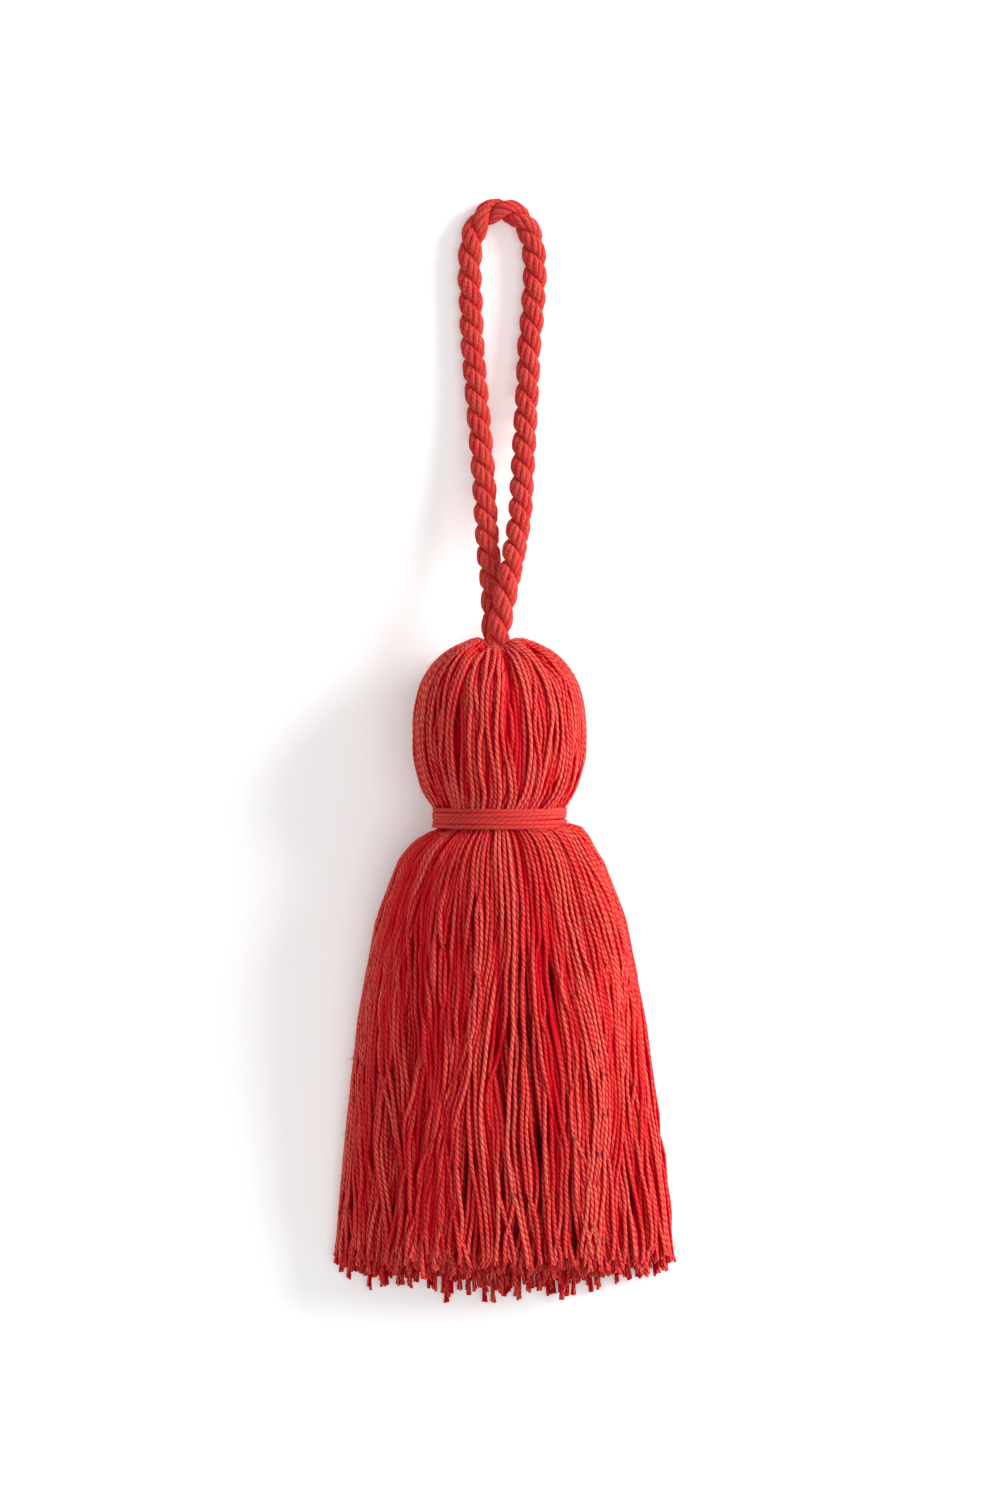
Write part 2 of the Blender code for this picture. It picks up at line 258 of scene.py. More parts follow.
def plied_yarn_group():
    """Ridges of the plies and the fibres along them, from where a point lies on its yarn."""
    tree = bpy.data.node_groups.new("Plied yarn", "ShaderNodeTree")
    usual = {
        "Plies": PLIES, "Lay length": 0.0032, "Shade spread": 0.2, "Groove": 1.0, "Matted tone": 0.55
    }
    for name, value in usual.items():
        socket(tree, name, "INPUT", "NodeSocketFloat", value)
    for name in ("Tone", "Height", "Shade"):
        socket(tree, name, "OUTPUT", "NodeSocketFloat")
    given = node(tree, "NodeGroupInput").outputs
    around = attribute(tree, "yarn_round", "Vector")
    outward = attribute(tree, "yarn_out", "Vector")
    run = attribute(tree, "yarn_run")
    shade = attribute(tree, "yarn_shade")
    depth = attribute(tree, "yarn_depth")
    ridge = ply_ridges(tree, around, run, shade, given["Lay length"], given["Plies"])
    fibres = fibre_noise(tree, around, run, shade)

    # Tone runs from 0, painted shade deep between the plies, to 1, on a ridge that faces out of the
    # skein.
    tone = maths(tree, "MULTIPLY_ADD", ridge, 0.48, 0.03)
    tone = maths(tree, "MULTIPLY_ADD", fibres, 0.5, tone)
    off_middle = maths(tree, "SUBTRACT", shade, 0.5)
    tone = maths(tree, "ADD", tone, maths(tree, "MULTIPLY", off_middle, given["Shade spread"]))
    # Painted shade: the tone falls where a yarn lies deep, where its side turns into the skein and
    # in crevices.
    painted_depth_shade = maths(tree, "MULTIPLY_ADD", depth, DEPTH_SHADE, 1.0)
    for factor in (painted_depth_shade, facing_out(tree, outward), painted_crevice_shade(tree), TONE_GAIN):
        tone = maths(tree, "MULTIPLY", tone, factor)
    tone = maths(tree, "POWER", maths(tree, "MAXIMUM", tone, 0.0), TONE_POWER)
    # Groove below 1 evens the tone out, for yarns that lie pressed together and matted.
    even = maths(tree, "SUBTRACT", 1.0, given["Groove"])
    tone = maths(tree, "MULTIPLY", tone, given["Groove"])
    tone = maths(tree, "MULTIPLY_ADD", even, given["Matted tone"], tone)
    # Painted shade: the groove between two plies is darkened, as it keeps some light out.
    groove = maths(tree, "MULTIPLY", maths(tree, "SUBTRACT", 1.0, ridge), given["Groove"])
    groove = maths(tree, "MULTIPLY", groove, maths(tree, "SUBTRACT", 1.0, depth))
    node(tree, "NodeGroupOutput", {
        "Tone": tone,
        "Height": maths(tree, "MULTIPLY_ADD", fibres, 0.5, ridge),
        "Shade": maths(tree, "MULTIPLY_ADD", groove, GROOVE_SHADE, 1.0),
    })
    return tree


PLIED_YARN = plied_yarn_group()
print("shader group:", PLIED_YARN.name)


# %% Yarn materials
YARN_LAY = 3.9 * MM
# The first red is the crimson of painted shade, where the tone falls in grooves, on deep yarns and
# in crevices; the other two are the cotton's colour on open ridges.
SHADED_RED = (0.57, 0.0, 0.012)
BRIGHT_RED = (0.86, 0.205, 0.146)
DUSTY_RED = (0.60, 0.145, 0.104)
# Red light passes through the fibres and comes out on a yarn's shaded side. Other light doesn't.
COTTON_FINISH = {
    "Subsurface Weight": 1.0,
    "Subsurface Radius": (1.0, 0.02, 0.06),
    "Subsurface Scale": 0.25 * MM,
    "Roughness": 0.85,
    "Specular IOR Level": 0.0,
    "Sheen Weight": 0.03,
    "Sheen Roughness": 0.5,
    "Sheen Tint": (1.0, 0.3, 0.25, 1.0),
}


def yarn_material(name, bright, lay, bump, shade_spread, groove=1.0, matted=0.55):
    """Dyed cotton with painted shade: crimson in the grooves between plies, more orange and dusty on
    their ridges.
    """
    material = bpy.data.materials.new(name)
    material.use_nodes = True
    tree = material.node_tree
    shader = tree.nodes["Principled BSDF"].inputs
    for quality, value in COTTON_FINISH.items():
        shader[quality].default_value = value
    yarn = node(tree, "ShaderNodeGroup", node_tree=PLIED_YARN)
    own_values = {
        "Lay length": lay, "Shade spread": shade_spread, "Groove": groove, "Matted tone": matted
    }
    for name, value in own_values.items():
        yarn.inputs[name].default_value = value

    tones = {"Factor": yarn.outputs["Tone"], "A": (*SHADED_RED, 1.0), "B": (*bright, 1.0)}
    blend = node(tree, "ShaderNodeMix", tones, data_type="RGBA", clamp_factor=True)
    values = {0: blend.outputs["Result"], "Scale": yarn.outputs["Shade"]}
    tree.links.new(vector_maths(tree, "SCALE", values).outputs[0], shader["Base Color"])
    values = {"Height": yarn.outputs["Height"], "Distance": bump, "Strength": 1.0}
    tree.links.new(node(tree, "ShaderNodeBump", values).outputs["Normal"], shader["Normal"])
    return material


skein_red = yarn_material("skein_cotton", BRIGHT_RED, YARN_LAY, 0.05 * MM, 0.25)
# The band is pulled tight and the rope is handled most, so both are more matted than the skein.
band_red = yarn_material(
    "band_cotton", DUSTY_RED, YARN_LAY, 0.03 * MM, 0.15, groove=0.35, matted=0.3
)
rope_red = yarn_material(
    "rope_cotton", DUSTY_RED, 0.65 * YARN_LAY, 0.03 * MM, 0.25, groove=0.4, matted=0.5
)
print("materials:", skein_red.name, band_red.name, rope_red.name)

# %% [markdown]
# ## Spinning tubes along guides
#
# A guide is a bare line of points, one for each yarn. Geometry Nodes turns all the guides of a
# piece into round yarns at once: it makes them curves, sweeps a circle of the radius that their
# points carry along them and keeps, on every point of the surface, where it lies on its yarn.
# Sweeping in nodes is quicker than building faces by hand, and the same tree serves the rope, the
# head, the band, the skirt, the frayed ends and the fuzz.


# %% The yarn tree
def store_attribute(tree, geometry, name, data_type, value):
    """Keeps a value on the points of the geometry that comes in."""
    values = {"Geometry": geometry, "Name": name, "Value": value}
    return node(
        tree, "GeometryNodeStoreNamedAttribute", values, data_type=data_type, domain="POINT"
    ).outputs["Geometry"]


def yarn_tree():
    """Guides in, yarns out: round tubes as thick as the guides' points say."""
    tree = bpy.data.node_groups.new("Yarns along guides", "GeometryNodeTree")
    socket(tree, "Guides", "INPUT", "NodeSocketGeometry")
    socket(tree, "Sides", "INPUT", "NodeSocketInt", 6)
    socket(tree, "Thickness", "INPUT", "NodeSocketFloat", 1.0)
    socket(tree, "Seed", "INPUT", "NodeSocketInt", 0)
    socket(tree, "Finish", "INPUT", "NodeSocketMaterial")
    socket(tree, "Yarns", "OUTPUT", "NodeSocketGeometry")
    given = node(tree, "NodeGroupInput").outputs

    lines = node(tree, "GeometryNodeMeshToCurve", {"Mesh": given["Guides"]}).outputs["Curve"]
    # One number for each yarn, the same at all its points.
    index = node(tree, "GeometryNodeInputIndex").outputs[0]
    of_yarn = node(
        tree, "GeometryNodeFieldOnDomain", {0: index}, data_type="INT", domain="CURVE"
    ).outputs[0]
    values = {"ID": of_yarn, "Seed": given["Seed"]}
    chance = node(tree, "FunctionNodeRandomValue", values, data_type="FLOAT").outputs[1]
    lines = store_attribute(tree, lines, "yarn_shade", "FLOAT", chance)

    values = {"Radius": 1.0, "Resolution": given["Sides"]}
    circle = node(tree, "GeometryNodeCurvePrimitiveCircle", values, mode="RADIUS").outputs["Curve"]
    place = node(tree, "GeometryNodeInputPosition").outputs[0]
    circle = store_attribute(tree, circle, "yarn_round", "FLOAT_VECTOR", place)

    radius = node(
        tree, "GeometryNodeInputNamedAttribute", {"Name": "guide_radius"}, data_type="FLOAT"
    ).outputs["Attribute"]
    thick = maths(tree, "MULTIPLY", radius, given["Thickness"])
    values = {"Curve": lines, "Profile Curve": circle, "Scale": thick, "Fill Caps": True}
    tubes = node(tree, "GeometryNodeCurveToMesh", values).outputs["Mesh"]
    tubes = node(tree, "GeometryNodeSetShadeSmooth", {"Geometry": tubes}).outputs["Geometry"]
    tubes = node(tree, "GeometryNodeRealizeInstances", {"Geometry": tubes}).outputs["Geometry"]
    values = {"Geometry": tubes, "Material": given["Finish"]}
    tubes = node(tree, "GeometryNodeSetMaterial", values).outputs["Geometry"]
    node(tree, "NodeGroupOutput", {"Yarns": tubes})
    return tree


YARN_TREE = yarn_tree()
print("tree:", YARN_TREE.name)


# %% From guides to a plain mesh
GUIDE_ATTRIBUTES = (
    ("guide_radius", "FLOAT", "value"),
    ("yarn_run", "FLOAT", "value"),
    ("yarn_depth", "FLOAT", "value"),
    ("yarn_out", "FLOAT_VECTOR", "vector"),
)


def set_inputs(modifier, **values):
    """Sets a modifier's inputs, found by name and set by identifier."""
    for item in modifier.node_group.interface.items_tree:
        if item.item_type == "SOCKET" and item.in_out == "INPUT" and item.name in values:
            modifier[item.identifier] = values[item.name]


def bake(obj, name):
    """The evaluated shape as a plain mesh object at the origin, in place of obj."""
    evaluated = obj.evaluated_get(bpy.context.evaluated_depsgraph_get())
    mesh = bpy.data.meshes.new_from_object(evaluated)
    mesh.name = name
    data = obj.data
    bpy.data.objects.remove(obj)
    bpy.data.meshes.remove(data)
    return new_object(name, mesh)


def guide_lines(name, guides):
    """A mesh of bare lines. guides is a list of (points, radii, run, depth, out), in metres."""
    points, *attributes = (np.concatenate(values) for values in zip(*guides))
    counts = [len(guide[0]) for guide in guides]
    starts = np.concatenate([[0], np.cumsum(counts)[:-1]])
    edges = [(s + i, s + i + 1) for s, n in zip(starts, counts) for i in range(n - 1)]
    mesh = bpy.data.meshes.new(name)
    mesh.from_pydata(points.tolist(), edges, [])
    for (key, kind, field), values in zip(GUIDE_ATTRIBUTES, attributes):
        kept = mesh.attributes.new(key, kind, "POINT")
        kept.data.foreach_set(field, values.astype(np.float32).ravel())
    return new_object(name, mesh)


def spin(name, guides, material, sides, seed):
    """Yarns along the guides, as one plain mesh piece."""
    obj = guide_lines(name + "_guides", guides)
    modifier = obj.modifiers.new("yarns", "NODES")
    modifier.node_group = YARN_TREE
    set_inputs(modifier, Sides=sides, Thickness=1.0, Seed=seed, Finish=material)
    piece = bake(obj, name)
    piece.data.calc_loop_triangles()
    print(f"{name}: {len(guides)} yarns, {len(piece.data.loop_triangles)} triangles")
    return piece


print("spin() is ready")


# %% Guides in millimetres
def run_along(points):
    """Distance along a line of points, from its first."""
    steps = np.linalg.norm(np.diff(points, axis=0), axis=1)
    return np.concatenate([[0.0], np.cumsum(steps)])


def to_row(points):
    """From millimetres, x and y from the neck and z from the surface, to metres in the row."""
    placed = np.asarray(points, float) * MM
    placed[..., 0] += NECK[0]
    placed[..., 1] += NECK[1]
    return placed


def from_neck(point):
    """The way back from to_row, for one point."""
    return (point - NECK * (1, 1, 0)) / MM


def yarn_guide(points, radius, start, depth, out):
    """One guide for spin(), from millimetres. depth is 0 on the skein's face and 1 well inside it,
    and out is the way that leads out of the skein."""
    placed = to_row(points)
    count = len(placed)
    radii = np.broadcast_to(np.multiply(radius, MM), count)
    run = run_along(placed) + start
    return placed, radii, run, np.broadcast_to(depth, count), np.broadcast_to(out, (count, 3))


print("the neck in the row, in metres:", to_row((0.0, 0.0, 0.0)).round(4))

# %% [markdown]
# ## The hanging loop
#
# Two plies are laid round each other, and each ply is itself a bundle of yarns turned the other
# way, which is why the yarns of a rope seem to run straight along it while the plies slant. The
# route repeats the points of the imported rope, and a smooth curve through them carries the plies.
# Each yarn winds round its ply's own centre line on an oval that is held back where the two plies
# press together.

# %% Route of the rope
LOOP_ROUTE = (
    (-1.2, 33.3, 13.35), (-1.2, 36.5, 13.35), (-1.2, 40.0, 13.1), (-1.4, 44.0, 12.4),
    (-1.7, 48.5, 11.4), (-2.3, 53.5, 10.1), (-2.7, 60.0, 8.4), (-3.2, 68.0, 6.5),
    (-3.9, 77.0, 4.8), (-4.7, 86.0, 3.5), (-5.4, 95.0, 2.9), (-5.8, 104.0, 2.75),
    (-6.0, 111.4, 2.75), (-5.4, 117.0, 2.75), (-3.3, 120.9, 2.75), (0.1, 122.5, 2.75),
    (3.8, 121.0, 2.75), (6.3, 117.1, 2.75), (7.1, 111.0, 2.75), (6.8, 103.4, 2.75),
    (6.0, 94.6, 3.0), (5.6, 86.0, 3.9), (5.1, 77.5, 5.5), (4.6, 68.5, 7.8),
    (4.1, 60.5, 10.4), (3.1, 54.0, 13.1), (2.1, 49.0, 15.8), (1.1, 44.2, 17.9),
    (0.3, 40.0, 18.75), (-0.2, 36.5, 18.85), (-0.2, 33.3, 18.85),
)
STEPS_BETWEEN_KNOTS = 24
ROUTE_STEP = 0.5


def smooth_route(knots, step):
    """Evenly spaced points on a smooth curve through the knots."""
    knots = np.asarray(knots, float)
    before = np.concatenate([knots[:1], knots[:-1]])
    after = np.concatenate([knots[1:], knots[-1:]])
    slopes = after - before
    slopes /= np.linalg.norm(slopes, axis=1)[:, None]
    pieces = []
    share = np.linspace(0, 1, STEPS_BETWEEN_KNOTS, endpoint=False)[:, None]
    for i in range(len(knots) - 1):
        span = np.linalg.norm(knots[i + 1] - knots[i])
        blend_in = 3 * share**2 - 2 * share**3
        start = knots[i] * (1 - blend_in) + knots[i + 1] * blend_in
        ease = share * (1 - share) * span
        pieces.append(start + ease * ((1 - share) * slopes[i] - share * slopes[i + 1]))
    fine = np.concatenate([*pieces, knots[-1:]])
    run = run_along(fine)
    wanted = np.linspace(0, run[-1], round(run[-1] / step) + 1)
    return np.stack([np.interp(wanted, run, fine[:, k]) for k in range(3)], axis=1)


def carried_frames(path):
    """Two directions across the path at each point, carried along without spinning round it."""
    tangents = np.gradient(path, axis=0)
    tangents /= np.linalg.norm(tangents, axis=1)[:, None]
    side = np.cross(tangents[0], (0.0, 0.0, 1.0))
    sides, rises = [], []
    for tangent in tangents:
        side = side - tangent * side.dot(tangent)
        side /= np.linalg.norm(side)
        sides.append(side)
        rises.append(np.cross(tangent, side))
    return np.array(sides), np.array(rises)


route = smooth_route(LOOP_ROUTE, ROUTE_STEP)


# %% Yarns of the rope
LAY_LENGTH = 9.6
LAY_UNEVEN = 0.3
PLY_OFFSET = 1.06
PLY_WIDE = 1.22
PLY_THICK = 0.86
PLY_YARNS = 7
ROPE_YARN_RADIUS = 0.58
COUNTER_TWIST = 0.75
LONGEST_START = 0.01
rope_rng = np.random.default_rng(3)


def rope_guides():
    """The yarns of both plies. LAY_UNEVEN, in radians, is how far the hand-laid twist strays."""
    sides, rises = carried_frames(route)
    run = run_along(route)
    lay = -TAU * run / LAY_LENGTH + LAY_UNEVEN * np.sin(run / 7.0)
    guides = []
    for ply in range(2):
        turned = lay + math.pi * ply
        out = sides * np.cos(turned)[:, None] + rises * np.sin(turned)[:, None]
        round_rope = -sides * np.sin(turned)[:, None] + rises * np.cos(turned)[:, None]
        for strand in range(PLY_YARNS):
            phase = TAU * strand / PLY_YARNS + rope_rng.uniform(-0.12, 0.12)
            own = phase - (1 + COUNTER_TWIST) * lay
            away = np.maximum(PLY_OFFSET + PLY_THICK * np.cos(own), 0.9 * ROPE_YARN_RADIUS)
            beside = PLY_WIDE * np.sin(own)
            points = route + out * away[:, None] + round_rope * beside[:, None]
            points[:, 2] = np.maximum(points[:, 2], ROPE_YARN_RADIUS)
            # Painted shade: where the two plies press together a yarn counts as deep and is painted
            # darker crimson.
            ply_shade = np.clip((PLY_OFFSET - away) / PLY_THICK, 0, 1)
            facing = out * np.cos(own)[:, None] + round_rope * np.sin(own)[:, None]
            start = rope_rng.uniform(0, LONGEST_START)
            guides.append(yarn_guide(points, ROPE_YARN_RADIUS, start, ply_shade, facing))
    return guides


rope = spin("hanging_rope", rope_guides(), rope_red, sides=7, seed=1)
rope_path = to_row(route)
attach(rope, "root")
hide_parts("hanging_loop")

# %% [markdown]
# ## Laying yarns side by side
#
# Hundreds of yarns share the head and the skirt, and real ones cannot pass through each other.
# Every yarn is first drawn where its place in the skein would put it, with a sway of its own.
# Then, in one section after another, yarns that lie closer than a yarn's width push each other
# apart, and a little straightening along each yarn keeps it from kinking. It is a small simulation
# of its own, which takes a few seconds.


# %% Pushing yarns apart
PUSH_SHARE = 0.4
STRAIGHTEN = 0.25


def push_apart(places, width, rounds, keep_in, wrap=None):
    """places is (yarns, sections, 2). wrap, if given, is the length round at each section."""
    places = places.astype(np.float32)
    count, sections, _ = places.shape
    # A yarn is far away from itself, so it isn't pushed by itself.
    itself = np.eye(count, dtype=np.float32) * 1e3
    for _ in range(rounds):
        for k in range(sections):
            here = places[:, k]
            across = here[:, None, 0] - here[None, :, 0]
            if wrap is not None:
                across -= wrap[k] * np.round(across / wrap[k])
            deep = here[:, None, 1] - here[None, :, 1]
            apart = np.sqrt(across**2 + deep**2) + itself + 1e-4
            push = np.maximum(width[k] - apart, 0.0) / apart * PUSH_SHARE
            here[:, 0] += (across * push).sum(1)
            here[:, 1] += (deep * push).sum(1)
        mean = (places[:, :-2] + places[:, 2:]) / 2
        places[:, 1:-1] += STRAIGHTEN * (mean - places[:, 1:-1])
        places = keep_in(places)
    return places


print("each round undoes", PUSH_SHARE, "of an overlap and", STRAIGHTEN, "of a kink")


# %% Sway and locks
LOCK_SWAY = (50, 120)
LOCK_BEAT = (20, 55)


def sway(rng, count, run, amplitude, shortest, longest):
    """Slow side-to-side wandering of each yarn along its run."""
    total = np.zeros((count, len(run)))
    for _ in range(3):
        length = rng.uniform(shortest, longest, (count, 1))
        phase = rng.uniform(0, TAU, (count, 1))
        total += np.sin(TAU * run[None] / length + phase)
    return total * amplitude / 3


def gather(rng, places, run, locks, loose, lean, pinch, flat, edge):
    """Draws the yarns into locks, which sway together, by lean, and close up here and there, by
    the share pinch. flat above 1 keeps a lock to yarns of one depth, and edge gives the share of
    its sway that a lock keeps."""
    middle = places[:, len(run) // 2] * (1.0, flat)
    chosen = rng.choice(len(places), locks, replace=False)
    lock = np.linalg.norm(middle[:, None] - middle[None, chosen], axis=-1).argmin(1)
    leans = sway(rng, locks, run, lean, *LOCK_SWAY) * loose
    beat = rng.uniform(*LOCK_BEAT, (locks, 1))
    phase = rng.uniform(0, TAU, (locks, 1))
    closing = pinch * (0.5 + 0.5 * np.sin(TAU * run / beat + phase)) * loose
    for k in range(locks):
        own = lock == k
        centre = places[own].mean(0)
        places[own] += closing[k][None, :, None] * (centre - places[own])
        places[own, :, 0] += leans[k] * edge(centre)
    return places


print("locks sway over", LOCK_SWAY, "mm and close up over", LOCK_BEAT, "mm")


# %% Partings and depth
PARTING_STRENGTHS = (0.6, 1)
PARTING_WIDTHS = (0.5, 1.3)


def draw_partings(rng, count, span, run, shortest, longest):
    """Lines along which the yarns draw aside for a while: the middle, depth and width of each."""
    reach = rng.uniform(shortest, longest, (count, 1)) / 2
    halfway = rng.uniform(0.1, 1, (count, 1)) * run[-1]
    strength = np.clip(1 - ((run - halfway) / reach) ** 2, 0, 1)
    strength = strength * rng.uniform(*PARTING_STRENGTHS, (count, 1))
    return rng.uniform(*span, (count, 1)), strength, rng.uniform(*PARTING_WIDTHS, (count, 1))


def parted(across, middles, strengths, widths, wrap=None):
    """How far a place is down in a parting: 0 beside them all, 1 in the bottom of a deep one."""
    deepest = np.zeros_like(across)
    for middle, strength, width in zip(middles, strengths, widths):
        away = across - middle
        if wrap is not None:
            away = away - wrap * np.round(away / wrap)
        deepest = np.maximum(deepest, strength * np.exp(-((away / width) ** 2)))
    return deepest


def buried(places, width, gap):
    """How deep each yarn lies at each station: 0 with nothing over it or under it, to 1."""
    depth = np.zeros(places.shape[:2])
    for k in range(places.shape[1]):
        across = np.abs(places[:, None, k, 0] - places[None, :, k, 0]) < width
        over = places[None, :, k, 1] - places[:, None, k, 1]
        above = (across & (over > gap)).sum(1)
        below = (across & (over < -gap)).sum(1)
        depth[:, k] = np.minimum(above, below)
    return np.clip(depth / 2, 0, 1)


print("partings are", PARTING_WIDTHS, "mm wide to either side")

# %% [markdown]
# ## The head
#
# The yarns come up round the rope, fold over the rim and run down a barrel to the neck. Even round
# the barrel's widest part only half of them have room side by side, so they lie over each other,
# and one in three runs straight underneath. The barrel is unrolled: a yarn's place is its distance
# round the head and its depth below the surface, at each station from the rim to the neck. A
# smooth core lies inside them, so that no light shows through a gap; it is painted the crimson of
# shade, as the yarns deep in the head would look.

# %% Head profile
YARN_RADIUS = 0.48
AXIS_Z = NECK[2] / MM
HEAD_PROFILE = (
    (33.2, 3.4), (35.4, 3.6), (36.0, 4.6), (35.5, 6.2), (34.7, 8.0), (33.7, 10.0),
    (32.2, 12.0), (30.4, 13.7), (27.4, 15.6), (23.4, 16.9), (19.0, 17.5), (14.5, 17.6),
    (10.6, 17.2), (7.2, 16.4), (4.6, 15.3), (2.6, 13.9), (0.8, 12.7), (-2.0, 12.3),
)
HEAD_STATIONS = 44
OUTLINE_STEP = 0.25
# In millimetres, and in radians round the head, where the front is at about 1.6.
RIM_DIP = 1.8
RIM_DIP_ANGLE = 1.62
RIM_DIP_REACH = 0.5


def head_profile():
    """Run, height and radius at even steps along the head's outline, and the way outwards."""
    outline = smooth_route([(h, r, 0.0) for h, r in HEAD_PROFILE], OUTLINE_STEP)
    run = run_along(outline)
    even = np.linspace(0, run[-1], HEAD_STATIONS)
    height = np.interp(even, run, outline[:, 0])
    radius = np.interp(even, run, outline[:, 1])
    along = np.gradient(np.stack([height, radius], axis=1), axis=0)
    along /= np.linalg.norm(along, axis=1)[:, None]
    return even, height, radius, np.stack([along[:, 1], -along[:, 0]], axis=1)


head_run, head_height, head_radius, head_out = head_profile()


def on_head(yarn):
    """A head yarn's points, in millimetres from the neck; pressed up where it meets the surface."""
    angle = yarn[:, 0] / head_radius
    height = head_height - yarn[:, 1] * head_out[:, 0]
    radius = head_radius - yarn[:, 1] * head_out[:, 1]
    # The rim dips in front, where the loop leans out over it.
    from_front = np.remainder(angle, TAU) - RIM_DIP_ANGLE
    near_rim = np.clip((head_height - 26) / 8, 0, 1)
    height = height - RIM_DIP * np.exp(-(from_front / RIM_DIP_REACH) ** 2) * near_rim
    x = radius * np.cos(angle)
    z = AXIS_Z + radius * np.sin(angle)
    points = np.stack([x, height, np.maximum(z, YARN_RADIUS)], axis=1)
    out = np.stack(
        [head_out[:, 1] * np.cos(angle), head_out[:, 0], head_out[:, 1] * np.sin(angle)], axis=1
    )
    return points, out


print("head outline:", len(head_run), "stations,", round(head_run[-1], 1), "mm long")

# %% Head yarns
HEAD_YARNS = 258
HEAD_LOCKS = 44
HEAD_PARTING = 1.7
UNDER_DEPTH = 2.6
OVER_DEPTHS = (0.5, 1.3)
MOST_DEPTH = 4.2
head_rng = np.random.default_rng(21)


def head_places():
    """Where each yarn is drawn, before the yarns push each other apart."""
    start = np.linspace(0, TAU, HEAD_YARNS, endpoint=False)
    start += head_rng.uniform(-0.02, 0.02, HEAD_YARNS)
    # One yarn in three lies straight underneath and covers what the others leave open.
    under = np.arange(HEAD_YARNS) % 3 == 0
    depth = np.where(under, UNDER_DEPTH, head_rng.choice(OVER_DEPTHS, HEAD_YARNS))[:, None]
    depth = depth + sway(head_rng, HEAD_YARNS, head_run, 0.4, 25, 60)
    # Locks are gathered at one radius, so that the same sway is as wide at the rim as at the neck.
    widest = head_radius.max()
    places = np.stack([np.broadcast_to(start[:, None] * widest, depth.shape), depth], axis=-1)
    loose = np.sin(math.pi * (head_run / head_run[-1])) ** 0.7
    places[~under] = gather(
        head_rng, places[~under], head_run, HEAD_LOCKS, loose,
        lean=2.4, pinch=0.4, flat=5.0, edge=lambda centre: 1.0,
    )
    places[..., 0] += sway(head_rng, HEAD_YARNS, head_run, 1.0, 20, 60)
    places[..., 0] *= head_radius / widest
    return places


def keep_in_head(places):
    highest = YARN_RADIUS + HEAD_PARTING * parted(places[..., 0], *head_partings, head_wrap)
    places[..., 1] = np.clip(places[..., 1], highest, MOST_DEPTH)
    return places


head_width = np.full(HEAD_STATIONS, 1.9 * YARN_RADIUS)
head_wrap = TAU * head_radius
head_middles, head_strengths, head_widths = draw_partings(
    np.random.default_rng(77), 46, (0, TAU), head_run, shortest=10, longest=28
)
head_partings = (head_middles * head_radius, head_strengths, head_widths)
head_guides = []
for yarn in push_apart(head_places(), head_width, 20, keep_in_head, head_wrap):
    points, out = on_head(yarn)
    start = head_rng.uniform(0, LONGEST_START)
    # Painted shade: a yarn is painted darker crimson the deeper it lies below the head's face.
    depth = np.clip((yarn[:, 1] - YARN_RADIUS) / 2, 0, 1)
    head_guides.append(yarn_guide(points, YARN_RADIUS, start, depth, out))
head = spin("head_yarns", head_guides, skein_red, sides=5, seed=2)
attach(head, "root")
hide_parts("yarn_skein")


# %% Head core
CORE_DEPTH = 3.2
CORE_LOWEST = 2.5 * YARN_RADIUS
CORE_STEPS = 96


def lathe(name, rows, material, steps, lowest):
    """A closed form of round rows (height, radius), pressed flat where it would go below lowest."""
    points, faces = [], []
    for height, radius in rows:
        for i in range(steps):
            angle = TAU * i / steps
            z = max(AXIS_Z + radius * math.sin(angle), lowest)
            points.append((radius * math.cos(angle), height, z))
    for r in range(len(rows) - 1):
        for i in range(steps):
            a, b = r * steps + i, r * steps + (i + 1) % steps
            faces.append((a, b, b + steps, a + steps))
    faces.append(tuple(reversed(range(steps))))
    faces.append(tuple(range(len(points) - steps, len(points))))
    mesh = bpy.data.meshes.new(name)
    mesh.from_pydata(to_row(points).tolist(), [], faces)
    mesh.materials.append(material)
    mesh.shade_smooth()
    return new_object(name, mesh)


# The core is painted shade: plain crimson for the yarns that lie in shade deep in the head.
core_shade_red = plain_material("core_shade_cotton", (0.55, 0.002, 0.012), 0.95)
core_rows = [
    (h - CORE_DEPTH * o[0], r - CORE_DEPTH * o[1])
    for h, r, o in zip(head_height, head_radius, head_out)
]
# Every second row will do, from inside the rim on, as far as there is a core at all.
core_rows = [row for row in core_rows[6:-1:2] if row[1] > 1.0]
core = lathe("head_core", core_rows, core_shade_red, CORE_STEPS, CORE_LOWEST)
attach(core, "root")
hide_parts("yarn_skein")
print("core:", len(core_rows), "rows")

# %% [markdown]
# ## The neck band
#
# One yarn is wound about five times round the neck and pulled tight. Five rings would be simpler,
# but a single helix steps over from turn to turn as a wound yarn does. Its turns wander a little,
# so that they touch here and part there.

# %% Wound yarn
BAND_TURNS = 5
BAND_YARN_RADIUS = 0.49
BAND_STEP = math.radians(3)
BAND_SAG = 0.3
BAND_WANDER = 0.08


